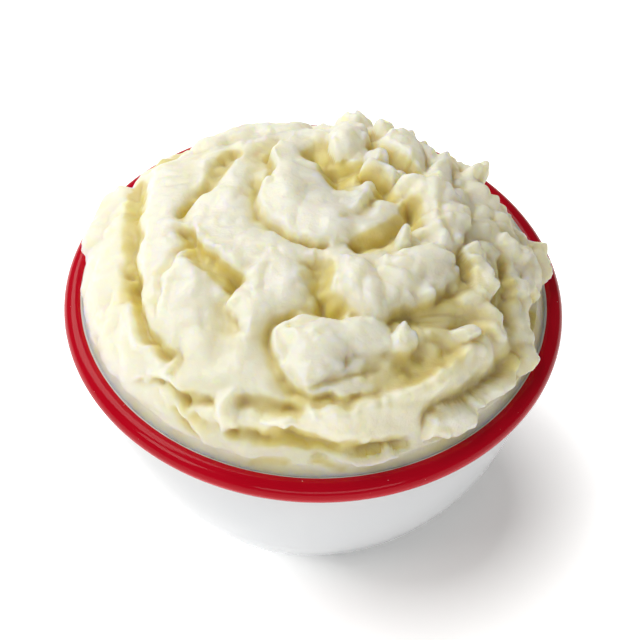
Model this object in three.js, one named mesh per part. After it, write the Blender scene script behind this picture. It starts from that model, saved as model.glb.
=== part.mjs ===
// A round enamelled bowl with a rolled rim, heaped with mashed potato.
// Millimetres, +Z up, the bowl's base on z = 0, its centre on the Z axis.
// +Y is away from the viewer, +X to the viewer's right.

import * as THREE from 'three';

// Bowl sizes
const RIM_R = 72;            // outside radius of the rolled rim
const BOWL_H = 62;           // floor to the top of the rim
const BEAD_R = 3.4;          // radius of the rolled rim's round section
const SHEET = 1.2;           // thickness of the enamelled sheet
const FOOT_R = 46;           // where the flat of the base ends
const RECESS_R = 38;         // outer edge of the shallow recess under the base
const RECESS_IN_R = 35;      // inner edge of the recess's shoulder
const RECESS_H = 0.8;        // depth of the recess
const WALL_FOOT_R = 50.6;    // radius where the wall's curve meets the base plane
const WALL_POWER = 2.54;     // how fast the wall turns upright
const HEEL_Z = 5;            // height where the rounded heel runs into the wall
const BOWL_SIDES = 64;

// Heap sizes
const GAP = 0.4;             // clear space between the potato and the bowl
const HEAP_Z = 56;           // height where the heap meets the bowl's wall
const HEAP_H = 32.5;         // plain dome's height above that
const HEAP_POWER = 2.5;      // 2 is an ellipse, more is boxier
const HEAP_CELLS = 64;       // squares across the heap's top

const TAU = 2 * Math.PI;
const BEAD_C = RIM_R - BEAD_R;
const BEAD_Z = BOWL_H - BEAD_R;
const NECK_R = BEAD_C - BEAD_R + SHEET;
const NECK_Z = BEAD_Z - Math.sqrt(BEAD_R ** 2 - (BEAD_C - NECK_R) ** 2);

const mix = (a, b, t) => a + (b - a) * t;
const ease = (a, b, x) => {
  const t = Math.min(1, Math.max(0, (x - a) / (b - a)));
  return t * t * (3 - 2 * t);
};

// The outside of the bowl's section, from the axis out and up to the rim.
const wallR = (z) =>
  NECK_R - (NECK_R - WALL_FOOT_R) * Math.max(0, 1 - z / NECK_Z) ** WALL_POWER;

function outerSection(heelSteps, wallSteps) {
  const pts = [[0, RECESS_H], [RECESS_IN_R, RECESS_H], [RECESS_R, 0], [FOOT_R, 0]];
  const end = [wallR(HEEL_Z), HEEL_Z];
  for (let i = 1; i <= heelSteps; i++) {
    const t = i / heelSteps;
    pts.push([0, 1].map((k) => {
      const corner = [WALL_FOOT_R, 0][k];
      return (1 - t) ** 2 * [FOOT_R, 0][k] + 2 * t * (1 - t) * corner + t * t * end[k];
    }));
  }
  for (let i = 1; i <= wallSteps; i++) {
    const z = mix(HEEL_Z, NECK_Z, i / wallSteps);
    pts.push([wallR(z), z]);
  }
  return pts;
}

// The same line moved inwards by d, square to itself.
function inset(pts, d) {
  return pts.map((p, i) => {
    const a = pts[Math.max(0, i - 1)];
    const b = pts[Math.min(pts.length - 1, i + 1)];
    const len = Math.hypot(b[0] - a[0], b[1] - a[1]);
    const nr = -(b[1] - a[1]) / len;
    const nz = (b[0] - a[0]) / len;
    return [i === 0 ? 0 : p[0] + nr * d, p[1] + nz * d];
  });
}

function bowlGeometry() {
  const outer = outerSection(3, 5);
  const inner = inset(outer, SHEET);
  const last = inner.length - 1;
  inner[last] = [NECK_R - SHEET, NECK_Z];
  const section = [...inner];
  // over the rim, from its innermost point to under it, where the wall comes out
  const beadStep = Math.PI / 6;
  const BEAD_END = 1.9;
  for (let a = Math.PI; a > -BEAD_END; a -= beadStep) {
    section.push([BEAD_C + BEAD_R * Math.cos(a), BEAD_Z + BEAD_R * Math.sin(a)]);
  }
  section.push(...outer.reverse());
  // the first and the last point are on the axis, so the solid is closed
  return spin(section, BOWL_SIDES);
}

// A closed surface of revolution about Z from a section that starts and ends on the axis.
function spin(section, sides) {
  const pos = [];
  const tri = [];
  const rings = section.slice(1, -1);
  for (const [r, z] of rings) {
    for (let k = 0; k < sides; k++) {
      pos.push(r * Math.cos((TAU * k) / sides), r * Math.sin((TAU * k) / sides), z);
    }
  }
  const top = pos.length / 3;
  pos.push(0, 0, section[0][1]);
  pos.push(0, 0, section[section.length - 1][1]);
  for (let k = 0; k < sides; k++) {
    const n = (k + 1) % sides;
    tri.push(top, k, n);
    for (let j = 0; j + 1 < rings.length; j++) {
      const a = j * sides;
      const b = a + sides;
      tri.push(a + k, b + k, b + n, a + k, b + n, a + n);
    }
    const e = (rings.length - 1) * sides;
    tri.push(top + 1, e + n, e + k);
  }
  return solid(pos, tri);
}

function solid(pos, tri) {
  const g = new THREE.BufferGeometry();
  g.setAttribute('position', new THREE.Float32BufferAttribute(pos, 3));
  g.setIndex(tri);
  g.computeVertexNormals();
  return g;
}

// The plain dome, unrolled: a place on it is (u, v) in mm, measured along the surface
// from the top, u to the right and v away from the viewer.
const HEAP_R = NECK_R - SHEET - GAP;
const domeReach = (a) =>
  ((Math.sin(a) / HEAP_R) ** HEAP_POWER + (Math.cos(a) / HEAP_H) ** HEAP_POWER) **
  (-1 / HEAP_POWER);
const DOME_STEPS = 600;
const domeLine = [];
for (let i = 0, s = 0; i <= DOME_STEPS; i++) {
  const a = (Math.PI / 2) * (i / DOME_STEPS);
  const r = domeReach(a) * Math.sin(a);
  const z = domeReach(a) * Math.max(0, Math.cos(a));
  if (i) s += Math.hypot(r - domeLine[i - 1].r, z - domeLine[i - 1].z);
  domeLine.push({ s, r, z });
}
const DOME_S = domeLine[DOME_STEPS].s;

function dome(s) {
  let lo = 0;
  let hi = DOME_STEPS;
  while (hi - lo > 1) {
    const mid = (lo + hi) >> 1;
    if (domeLine[mid].s <= s) lo = mid;
    else hi = mid;
  }
  const a = domeLine[lo];
  const b = domeLine[hi];
  const t = (s - a.s) / (b.s - a.s);
  const len = Math.hypot(b.r - a.r, b.z - a.z);
  return {
    r: mix(a.r, b.r, t), z: mix(a.z, b.z, t),
    nr: -(b.z - a.z) / len, nz: (b.r - a.r) / len,
  };
}

// Smooth noise from -1 to 1, the same every time.
const dice = (i, j) => {
  const x = Math.sin(i * 127.1 + j * 311.7) * 43758.5453;
  return x - Math.floor(x);
};
function noise(x, y) {
  const i = Math.floor(x);
  const j = Math.floor(y);
  const fx = ease(0, 1, x - i);
  const fy = ease(0, 1, y - j);
  const low = mix(dice(i, j), dice(i + 1, j), fx);
  const high = mix(dice(i, j + 1), dice(i + 1, j + 1), fx);
  return 2 * mix(low, high, fy) - 1;
}

// Spoon work on the heap. Each stroke follows (u, v) points.
// swell: a soft rise, half width, height.
// fold:  a torn step, crest on its left width and height, foot on its right width and
//        depth, how torn.
// lobe:  a rounded blob along a line, half width, top, how far its edge is sunk, how torn.
// slab:  a blob inside a closed line, how wide its edge rounds, top, sunk, how torn.
// cut:   a groove, half width left and right of the line, depth.
const STROKES = [
  // broad banks on the left
  ['swell', [[-66, 12], [-64, -3], [-61, -18], [-57, -33], [-50, -46], [-40, -57]], 7, 1],
  ['swell', [[-47, 24], [-46, 6], [-46, -10], [-42, -26], [-37, -38], [-33, -46]], 8, 1],
  ['swell', [[-28, 24], [-28, 12], [-27, 2]], 7, 0.8],
  ['swell', [[-24, -8], [-16, -13], [-6, -15]], 9, 1],
  ['lobe', [[-35, -26], [-34, -36], [-31, -42]], 5, 2.2, 0.6, 1.4],
  ['swell', [[-34, -17], [-31, -22]], 4, 1.6],
  ['slab', [[-22, -24], [-14, -22], [-8, -26], [-10, -34], [-17, -40], [-21, -36]],
    6, 2.4, 0.6, 1.6],
  ['swell', [[-23, -48], [-14, -50]], 5, 1.2],
  ['lobe', [[-48, 12], [-49, 2], [-46, -6]], 5, 2.2, 0.6, 1.6],
  ['lobe', [[-44, -14], [-42, -22]], 5, 2.2, 0.6, 1.8],
  ['fold', [[-33, -6], [-39, -14], [-41, -24], [-39, -32]], 4, 0.8, 2.6, 1.6, 1.6],
  ['fold', [[-15, -16], [-21, -22], [-22, -30], [-20, -38]], 4, 0.7, 2.6, 1.4, 1.6],
  // grooves and hollows on the left
  ['cut', [[-58, 24], [-56, 10], [-55, 0], [-56, -8], [-56, -15], [-54, -20]], 3.4, 3.4, 4],
  ['fold', [[-41, -46], [-45, -40], [-49, -34], [-51, -29], [-53, -24], [-57, -16]],
    3, 0.8, 3.8, 4.6, 1.1],
  ['cut', [[-28, 31], [-31, 23], [-34, 17], [-37, 12], [-40, 6]], 3.2, 3.2, 3.8],
  ['fold', [[-29, 13], [-35, 9], [-42, 4]], 3, 0.8, 2.2, 2, 1.8],
  ['cut', [[-38, -3], [-34, -9], [-31, -14], [-26, -18], [-21, -22]], 2.4, 2.6, 4.2],
  ['fold', [[-37, 1], [-31, -9], [-26, -14], [-18, -23]], 4, 1, 2.5, 2.5, 1.4],
  ['cut', [[-24, -28], [-24, -36], [-24, -46]], 3.4, 3.4, 2],
  // the crown, its hollow and the crease round it
  ['swell', [[-8, 22], [-9, 10], [-4, 4], [4, 2]], 8, 2.2],
  ['fold', [[-10, 36], [-13, 31], [-14, 26], [-12, 19], [-14, 14], [-17, 12], [-17, 7], [-15, 2],
    [-10, -3], [-3, -6], [5, -6]], 4, 1, 3.2, 3.2, 1.1],
  ['cut', [[-13, 40], [-18, 30], [-18, 20], [-19, 12]], 3, 3, 1.8],
  ['cut', [[-1, 31], [0, 24], [1, 17]], 5.5, 5, 5.8],
  ['cut', [[3, 24], [10, 25]], 3, 3, 3.4],
  ['fold', [[8, 5], [12, 11], [14, 19], [13, 27]], 4, 1.4, 3, 2.6, 1.4],
  ['swell', [[6, -1], [14, -1], [19, -3]], 4, 1.2],
  // back lumps
  ['slab', [[3, 44], [6, 52], [11, 54], [16, 48], [14, 36], [10, 30], [4, 34]], 5.5, 4.2, 1, 2],
  ['slab', [[17, 50], [23, 50], [31, 44], [31, 30], [25, 25], [18, 33]], 6, 4.6, 1, 2],
  ['lobe', [[33, 45], [36, 34], [34, 24]], 4.5, 3.6, 1, 1.8],
  ['cut', [[15, 49], [15, 38]], 1.8, 1.8, 3],
  ['slab', [[14, 31], [17, 33], [21, 29], [20, 25], [15, 24]], 3, 4, 1, 2],
  ['lobe', [[15, 23], [20, 21]], 2.6, 3.6, 1, 1.8],
  ['cut', [[16, 36], [20, 32], [25, 27], [31, 22]], 2, 2, 4.6],
  ['cut', [[14, 20], [18, 19], [20, 13]], 2.4, 2.6, 5.4],
  ['lobe', [[43, 39], [46, 33]], 3, 3.4, 0.5, 1.8],
  // lumps right of the crown
  ['slab', [[22, 17], [32, 21], [39, 15], [42, 6], [40, -4], [35, -8], [30, 0], [28, 10]],
    5, 4.8, 0.5, 2],
  ['cut', [[27, 10], [27, 4], [22, 0], [18, -4], [13, -7]], 3, 3.5, 5.4],
  ['slab', [[23, -2], [27, -1], [27, -8], [23, -9]], 2.4, 4, 1, 1.4],
  // big lobes below them
  ['slab', [[20, -13], [28, -8], [35, -5], [41, -11], [38, -18], [30, -24], [22, -25], [17, -19]],
    7, 5.6, 0.5, 1.8],
  ['slab', [[6, -13], [12, -14], [20, -18], [25, -22], [22, -27], [17, -32], [10, -30], [6, -22]],
    7.5, 4.8, 0.5, 1.4],
  ['fold', [[18, -32], [24, -27], [30, -25], [36, -20], [42, -13]], 3, 0.8, 4, 4, 1.4],
  ['cut', [[42, -5], [41, -13]], 1.8, 1.8, 4.2],
  ['cut', [[27, -30], [41, -29]], 4.5, 4.5, 2.8],
  ['slab', [[19, -40], [20, -35], [25, -33], [27, -38], [24, -42]], 2.4, 4, 0.5, 2.6],
  ['slab', [[36, -31], [41, -28], [43, -32], [40, -36], [37, -34]], 2.6, 3.6, 0.5, 2.4],
  ['cut', [[26, -43], [34, -39]], 4.5, 4.5, 2.8],
  ['cut', [[0, -16], [0, -25], [3, -30]], 4.5, 3.5, 5.4],
  // the front lump and the crease round it
  ['lobe', [[2, -38], [10, -37], [16, -36]], 5, 3.6, 0.5, 1.6],
  ['slab', [[-10, -35], [-3, -33], [4, -33], [9, -39], [8, -44], [3, -50], [-3, -53], [-7, -50],
    [-9, -43]], 6, 5, 0, 1.7],
  ['fold', [[8, -31], [0, -31], [-8, -32], [-12, -36], [-12, -42], [-10, -48], [-8, -53],
    [-2, -56], [8, -55]], 3, 0.6, 3.4, 3.6, 1.1],
  ['fold', [[2, -50], [8, -47], [14, -44]], 2, 0.8, 2.5, 1.4, 1.4],
  ['cut', [[2, -57], [9, -56], [17, -53]], 1.8, 2, 1.8],
  ['cut', [[17, -46], [26, -46]], 4.5, 4.5, 2.2],
  // right side
  ['swell', [[45, 26], [51, 20], [57, 14]], 5, 1.6],
  ['lobe', [[44, -4], [47, -11], [46, -18]], 3.4, 3.6, 0.5, 1.5],
  ['fold', [[49, -21], [50, -14], [49, -6]], 3, 1, 2.5, 3.8, 1.2],
  ['cut', [[54, -2], [55, -13]], 2, 2, 4.6],
  ['cut', [[54, -16], [55, -23]], 3, 3, 4.2],
  ['swell', [[43, -21], [48, -23], [53, -29]], 4, 2.2],
  ['lobe', [[56, 6], [64, 5], [68, -2], [64, -11]], 5.5, 3.8, 1, 1.9],
  ['lobe', [[49, -25], [52, -28]], 2.6, 3.8, 0.5, 1.8],
  // sweep across the front
  ['swell', [[44, -34], [40, -38], [34, -45], [25, -52], [14, -57], [3, -59]], 6, 3.2],
  ['fold', [[42, -34], [36, -41], [29, -47], [20, -52], [10, -55]], 3, 0.4, 3, 1.8, 0.7],
  ['cut', [[56, -36], [50, -41], [42, -49], [33, -56]], 2.8, 3, 4],
  ['lobe', [[59, -33], [57, -39], [51, -45], [46, -50]], 2.4, 3.2, 1, 1.6],
  ['slab', [[33, -57], [39, -53], [47, -51], [49, -56], [46, -62], [39, -62], [35, -63]],
    3.4, 3.8, 0.5, 2.4],
  // front, near the rim
  ['slab', [[-26, -52], [-19, -53], [-19, -61], [-23, -65], [-26, -60]], 4, 3.2, 0.5, 1.8],
  ['cut', [[-34, -53], [-28, -54]], 2, 2, 2.8],
  ['cut', [[-19, -56], [-4, -58]], 2.2, 2.2, 3],
  ['cut', [[-21, -64], [-6, -66], [8, -67], [27, -65]], 2.4, 2.4, 3.2],
  ['slab', [[-13, -60], [-6, -60], [-4, -62], [-7, -65], [-10, -63]], 2, 3, 0.5, 2],
  ['lobe', [[1, -59], [6, -59]], 2.4, 3.8, 0.5, 1.8],
  ['slab', [[10, -71], [18, -67], [26, -67], [25, -72], [17, -75]], 3, 3, 0.5, 1.8],
  ['cut', [[3, -73], [10, -76]], 2.6, 2.6, 3],
  ['cut', [[-16, -75], [-7, -74]], 2, 2, 2.4],
  ['fold', [[-47, -46], [-38, -49], [-32, -56]], 4, 1.2, 3, 2.2, 1.2],
  ['fold', [[-40, -53], [-34, -60], [-30, -68]], 3, 1, 3, 1.8, 1.2],
  // the edge at the rim: full on the left, torn back on the right
  ['lobe', [[-71, 12], [-69, 20], [-64, 28]], 6, 4.2, 1, 1.6],
  ['swell', [[-47, 54], [-58, 43], [-66, 30]], 6, 1],
  ['swell', [[-68, 27], [-75, 8], [-72, -13], [-71, -27]], 6, 1.6],
  ['lobe', [[73, 14], [78, 4]], 5, 5, 1.5, 1.7],
  ['cut', [[67, -12], [70, -18], [71, -25]], 3.5, 3.5, 5.4],
  ['swell', [[62, -25], [68, -30], [72, -39]], 5, 3.5],
  // the back, worked by the same spoon
  ['swell', [[-52, 32], [-39, 49], [-21, 60]], 7, 1.5],
  ['swell', [[-35, 49], [-14, 56], [14, 56]], 12, -3.2],
  ['lobe', [[-37, 43], [-25, 50], [-10, 52]], 7, 1.6, 2, 1.3],
  ['lobe', [[-2, 62], [14, 60], [25, 52]], 7, 1, 2, 1.4],
  ['lobe', [[39, 47], [47, 39]], 5, 2.5, 1.5, 1.6],
  ['lobe', [[-17, 70], [-2, 72]], 5, 1.2, 1.5, 1.3],
  ['lobe', [[60, 35], [54, 45]], 5, 2, 1.5, 1.4],
  ['cut', [[-49, 35], [-37, 55], [-17, 64], [-4, 66]], 4, 3, 4.2],
  ['cut', [[6, 67], [23, 59], [37, 46]], 3, 4, 4.2],
  ['cut', [[54, 32], [45, 45], [33, 54]], 3.5, 3.5, 3.6],
  ['cut', [[23, 70], [39, 60], [52, 47]], 4, 3, 3.0],
  ['swell', [[-13, 57], [0, 60]], 7, -2.4],
  ['lobe', [[9, 56], [12, 58]], 4, 3.4, 1, 2.2],
  ['lobe', [[19, 49], [21, 53]], 4, 4.4, 1, 1.8],
  ['lobe', [[45, 30], [48, 36]], 3.4, 5.6, 0.5, 1.4],
  ['swell', [[36, 43], [40, 41]], 5, -2.6],
  ['swell', [[56, 42], [60, 36]], 5, -2.6],
  ['swell', [[57, 18], [59, 9]], 4, -2],
  ['lobe', [[69, 14], [74, 6]], 4.5, 5.4, 1, 1.8],
  ['swell', [[71, -4], [75, -20]], 6, -3],
];

// A smooth line through a stroke's points.
const SPLINE_STEPS = 6;
function through(points, closed) {
  const line = [];
  const n = points.length;
  const at = (i) => points[closed ? (i + n) % n : Math.min(n - 1, Math.max(0, i))];
  for (let i = 0; i < (closed ? n : n - 1); i++) {
    for (let k = 0; k < SPLINE_STEPS; k++) {
      const t = k / SPLINE_STEPS;
      line.push([0, 1].map((c) => {
        const [a, b, d, e] = [at(i - 1)[c], at(i)[c], at(i + 1)[c], at(i + 2)[c]];
        return 0.5 * (2 * b + (d - a) * t + (2 * a - 5 * b + 4 * d - e) * t * t +
          (3 * b - a - 3 * d + e) * t * t * t);
      }));
    }
  }
  line.push(closed ? points[0] : points[n - 1]);
  return line;
}

// Distance from a place to a line, below zero on the line's right.
function away(line, u, v) {
  let best = Infinity;
  let side = 1;
  for (let i = 0; i + 1 < line.length; i++) {
    const [ax, ay] = line[i];
    const dx = line[i + 1][0] - ax;
    const dy = line[i + 1][1] - ay;
    const t = Math.min(1, Math.max(0, ((u - ax) * dx + (v - ay) * dy) / (dx * dx + dy * dy)));
    const ex = u - ax - dx * t;
    const ey = v - ay - dy * t;
    const d = Math.hypot(ex, ey);
    if (d < best) {
      best = d;
      side = dx * ey - dy * ex >= 0 ? 1 : -1;
    }
  }
  return best * side;
}

// Distance from a place to a closed line, above zero inside it.
function within(line, u, v) {
  let inside = false;
  for (let i = 0; i + 1 < line.length; i++) {
    const [ax, ay] = line[i];
    const [bx, by] = line[i + 1];
    if (ay > v !== by > v && u < ax + ((v - ay) * (bx - ax)) / (by - ay)) inside = !inside;
  }
  return Math.abs(away(line, u, v)) * (inside ? 1 : -1);
}

const CUT_RAG = 1.1;         // how torn the edges of a cut are
const strokes = STROKES.map(([kind, points, ...sizes]) => {
  const line = through(points, kind === 'slab');
  const [w, , right] = sizes;
  const reach = 2 + {
    swell: 2.4 * w, fold: 2.4 * Math.max(w, right), lobe: w + 3, slab: 3,
    cut: 2.4 * Math.max(w, sizes[1]),
  }[kind];
  const low = [0, 1].map((c) => Math.min(...line.map((p) => p[c])) - reach);
  const high = [0, 1].map((c) => Math.max(...line.map((p) => p[c])) + reach);
  const rag = { swell: 0, cut: CUT_RAG }[kind] ?? sizes[sizes.length - 1];
  return { kind, line, sizes, low, high, rag };
});
// Sizes of the noise in the relief: how high it is, then how wide its patches are.
const BASE = 1;              // the potato stands this far off the plain dome
const ROLL = [0.9, 11];      // soft unevenness
const RIPPLE = [0.6, 5];     // finer unevenness
const WARP = [1.4, 14];      // how far strokes wander from their lines
const RAG = [0.6, 6];        // tears along a stroke's edge
const FINE_RAG = [0.6, 2.6];
const CRUMB = [2.2, 8];      // crumbs
const CALM = 0.5;            // share of the crumbs' height where the heap is smooth
const TORN_U = [-10, 40];    // the heap turns from smooth to torn over this, left to right,
const TORN_V = [-50, -25];   // and over this, front to back
const CREASE = 0.8;          // how far a crease is rounded off
const SOFT = 1.2;            // how fast swells, folds and cuts fade
const STEEP = 1.2;           // half the width of a fold's step
const FADE = 4;              // a fold dies out over this much at its ends
const softMax = (a, b) => {
  const m = Math.max(CREASE - Math.abs(a - b), 0) / CREASE;
  return Math.max(a, b) + (m * m * CREASE) / 4;
};
const fall = (q) => Math.exp(-SOFT * q * q);

// How far the surface stands off the plain dome.
function relief(u, v) {
  // the two last numbers pick a patch of noise
  const rough = ([high, wide], x, y) => high * noise(u / wide + x, v / wide + y);
  const wu = u + rough(WARP, 3, 8);
  const wv = v + rough(WARP, 41, 27);
  const tu = rough(RAG, 7, 1) + rough(FINE_RAG, 4, 6);
  const tv = rough(RAG, 31, 19) + rough(FINE_RAG, 12, 24);
  let h = BASE + rough(ROLL, 5, 9) + rough(RIPPLE, 17, 2);
  for (const { kind, line, sizes, low, high, rag } of strokes) {
    if (u < low[0] || u > high[0] || v < low[1] || v > high[1]) continue;
    const pu = wu + rag * tu;
    const pv = wv + rag * tv;
    if (kind === 'slab') {
      const [w, top, sunk] = sizes;
      const q = 1 - Math.min(within(line, pu, pv) / w, 1);
      if (q < 1) h = softMax(h, -sunk + (top + sunk) * Math.sqrt(1 - q * q));
      continue;
    }
    const d = away(line, pu, pv);
    if (kind === 'swell') {
      h += sizes[1] * fall(d / sizes[0]);
    } else if (kind === 'cut') {
      const [left, right, deep] = sizes;
      h -= deep * fall(d / (d >= 0 ? left : right));
    } else if (kind === 'fold') {
      const [left, top, right, deep] = sizes;
      const ends = Math.min(
        ...[line[0], line[line.length - 1]].map((p) => Math.hypot(pu - p[0], pv - p[1])),
      );
      const step = mix(-deep * fall(d / right), top * fall(d / left), ease(-STEEP, STEEP, d));
      h += step * ease(0, FADE, ends);
    } else {
      const [w, top, sunk] = sizes;
      const q = Math.abs(d) / w;
      if (q < 1) h = softMax(h, -sunk + (top + sunk) * Math.sqrt(1 - q * q));
    }
  }
  const torn = mix(CALM, 1, ease(...TORN_U, u) * ease(...TORN_V, v));
  const [tall, wide] = CRUMB;
  const crumb = Math.abs(noise(wu / wide + 51, wv / wide + 13)) +
    0.5 * Math.abs(noise((2 * wu) / wide + 2, (2 * wv) / wide + 33));
  return h + torn * tall * (crumb - 0.5);
}

// One point of the heap's top, kept clear of the rolled rim.
const EDGE_BAND = 5;         // the relief fades out over this much at the wall
const OVER_RIM = 4;          // how far potato may lean over the rim above it
const RIM_CLEAR = [0.4, 5];  // it starts this far above the rim and is full this far above
const SPREAD = [-0.9, 0, 0.9]; // the relief is a mean over about one grid square
function heapPoint(u, v) {
  const s = Math.min(DOME_S, Math.hypot(u, v));
  const angle = Math.atan2(v, u);
  const base = dome(s);
  let sum = 0;
  for (const du of SPREAD) for (const dv of SPREAD) sum += relief(u + du, v + dv);
  const h = (sum / SPREAD.length ** 2) * ease(DOME_S, DOME_S - EDGE_BAND, s);
  let r = base.r + base.nr * h;
  const z = Math.max(HEAP_Z, HEAP_Z + base.z + base.nz * h);
  r = Math.min(r, HEAP_R + OVER_RIM * ease(BOWL_H + RIM_CLEAR[0], BOWL_H + RIM_CLEAR[1], z));
  return [r * Math.cos(angle), r * Math.sin(angle), z];
}

function heapGeometry() {
  const n = HEAP_CELLS;
  const pos = [];
  const tri = [];
  // a square grid drawn out to a disc, so its squares stay even
  for (let j = 0; j <= n; j++) {
    for (let i = 0; i <= n; i++) {
      const a = (2 * i) / n - 1;
      const b = (2 * j) / n - 1;
      const flat = Math.abs(a) >= Math.abs(b);
      const far = flat ? a : b;
      const turn = flat ? (far ? b / a : 0) : a / b;
      const angle = flat ? (Math.PI / 4) * turn : Math.PI / 2 - (Math.PI / 4) * turn;
      pos.push(...heapPoint(DOME_S * far * Math.cos(angle), DOME_S * far * Math.sin(angle)));
    }
  }
  const id = (i, j) => j * (n + 1) + i;
  const gap2 = (a, b) =>
    [0, 1, 2].reduce((sum, k) => sum + (pos[3 * a + k] - pos[3 * b + k]) ** 2, 0);
  for (let j = 0; j < n; j++) {
    for (let i = 0; i < n; i++) {
      const [a, b, c, d] = [id(i, j), id(i + 1, j), id(i + 1, j + 1), id(i, j + 1)];
      if (gap2(a, c) <= gap2(b, d)) tri.push(a, b, c, a, c, d);
      else tri.push(a, b, d, b, c, d);
    }
  }
  // the edge, anticlockwise from the +X axis
  const edge = [];
  for (let j = n / 2; j < n; j++) edge.push(id(n, j));
  for (let i = n; i > 0; i--) edge.push(id(i, n));
  for (let j = n; j > 0; j--) edge.push(id(0, j));
  for (let i = 0; i < n; i++) edge.push(id(i, 0));
  for (let j = 0; j < n / 2; j++) edge.push(id(n, j));

  // the underside follows the inside of the bowl
  const rings = inset(outerSection(2, 4), SHEET + GAP).slice(1, -1).reverse();
  const first = pos.length / 3;
  for (const [r, z] of rings) {
    for (let k = 0; k < BOWL_SIDES; k++) {
      const angle = (TAU * k) / BOWL_SIDES;
      pos.push(r * Math.cos(angle), r * Math.sin(angle), z);
    }
  }
  const fine = edge.length / BOWL_SIDES;
  for (let k = 0; k < BOWL_SIDES; k++) {
    const next = (k + 1) % BOWL_SIDES;
    for (let m = 0; m < fine; m++) {
      tri.push(first + k, edge[(k * fine + m + 1) % edge.length], edge[k * fine + m]);
    }
    tri.push(first + k, first + next, edge[(next * fine) % edge.length]);
    for (let j = 0; j + 1 < rings.length; j++) {
      const a = first + j * BOWL_SIDES;
      const b = a + BOWL_SIDES;
      tri.push(a + k, b + k, b + next, a + k, b + next, a + next);
    }
  }
  const base = pos.length / 3;
  pos.push(0, 0, RECESS_H + SHEET + GAP);
  const e = first + (rings.length - 1) * BOWL_SIDES;
  for (let k = 0; k < BOWL_SIDES; k++) {
    tri.push(base, e + ((k + 1) % BOWL_SIDES), e + k);
  }
  return solid(pos, tri);
}

function mesh(name, geometry, color, roughness) {
  const m = new THREE.Mesh(
    geometry,
    new THREE.MeshStandardMaterial({ color, roughness, metalness: 0 }),
  );
  m.name = name;
  return m;
}

const part = new THREE.Group();
part.name = 'mashed_potato_side';
part.add(mesh('bowl', bowlGeometry(), 0xf0f0ee, 0.12));
part.add(mesh('mashed_potato', heapGeometry(), 0xefe9cf, 0.45));

export default part;
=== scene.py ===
import math
import bpy
import numpy as np
from mathutils import Matrix, Vector


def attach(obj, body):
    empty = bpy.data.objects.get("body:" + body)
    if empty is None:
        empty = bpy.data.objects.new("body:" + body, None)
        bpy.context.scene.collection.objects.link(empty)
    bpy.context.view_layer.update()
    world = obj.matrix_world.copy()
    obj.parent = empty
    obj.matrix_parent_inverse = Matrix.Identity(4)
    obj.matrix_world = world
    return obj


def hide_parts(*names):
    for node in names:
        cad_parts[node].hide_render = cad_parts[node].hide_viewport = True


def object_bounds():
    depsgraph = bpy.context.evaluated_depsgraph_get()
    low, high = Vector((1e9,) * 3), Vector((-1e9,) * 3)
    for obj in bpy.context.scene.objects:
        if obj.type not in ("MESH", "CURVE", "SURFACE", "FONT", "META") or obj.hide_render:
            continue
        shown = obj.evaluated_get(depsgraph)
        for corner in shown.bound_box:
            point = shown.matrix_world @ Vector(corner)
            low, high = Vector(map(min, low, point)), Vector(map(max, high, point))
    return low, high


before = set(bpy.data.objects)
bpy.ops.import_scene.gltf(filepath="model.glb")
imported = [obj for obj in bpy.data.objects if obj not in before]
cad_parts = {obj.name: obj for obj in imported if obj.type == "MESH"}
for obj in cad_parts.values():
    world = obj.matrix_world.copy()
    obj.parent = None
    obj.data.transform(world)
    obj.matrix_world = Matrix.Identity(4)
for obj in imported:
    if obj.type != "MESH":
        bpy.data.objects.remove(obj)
CAD_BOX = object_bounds()
MM = 0.001

# Bowl sizes in mm, as in the CAD part
RIM_R = 72.0
BOWL_H = 62.0
BEAD_R = 3.4
SHEET = 1.2
FOOT_R = 46.0
RECESS_R = 38.0
RECESS_IN_R = 35.0
RECESS_H = 0.8
WALL_FOOT_R = 50.6
WALL_POWER = 2.54
HEEL_Z = 5.0
BEAD_C = RIM_R - BEAD_R
BEAD_Z = BOWL_H - BEAD_R
NECK_R = BEAD_C - BEAD_R + SHEET
NECK_Z = BEAD_Z - math.sqrt(BEAD_R ** 2 - (BEAD_C - NECK_R) ** 2)
BOWL_SIDES = 192
BEAD_STEPS = 26
SHOULDER_STEPS = 4
FINE_STEPS = (8, 14)
COARSE_STEPS = (4, 8)

# Heap sizes in mm, as in the CAD part
GAP = 0.4
HEAP_Z = 56.0
HEAP_H = 32.5
HEAP_POWER = 2.5
HEAP_R = NECK_R - SHEET - GAP
HEAP_CELLS = 296
HEAP_SIDES = HEAP_CELLS // 2
EDGE_BAND = 5.0

# Where the heap spreads over the rim: how far, and over which heights above the rim
OVER_RIM = 4.0
OVER_FROM = 0.4
OVER_TO = 5.0

# Where the heap's edge leans on the rolled rim, in degrees round the rim and mm
LIP_TURNS = (128, 140, 160, 180)
LIP_CLEAR = 0.12
TUCK_Z = 66.0
BELOW_TOP = 0.02

# Camera, from the photograph's perspective
CAM_DISTANCE = 0.5
CAM_ELEVATION = math.radians(50.04)
CAM_ROLL = math.radians(2.59)
CAM_PAN = math.radians(0.24)
CAM_TILT = math.radians(1.30)
CAM_LENS = 92.87
SENSOR = 36
NEAR_CLIP = 0.01

# Lights: place, size in metres, power in watts, colour
LIGHT_AIM = (0, 0, 0.06)
LIGHTS = {
    "key": ((-0.37, 0.34, 0.68), (0.55, 0.55), 4.45, (1.0, 0.99, 0.97)),
    "fill": ((-0.62, -0.34, 0.74), (0.35, 0.35), 2.1, (1.0, 0.985, 0.95)),
    "front": ((0.15, -0.95, 0.5), (1.0, 0.24), 2.7, (1.0, 1.0, 1.0)),
}
SKY_COLOUR = (1.0, 0.96, 0.87, 1)
SKY_STRENGTH = 0.165

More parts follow.
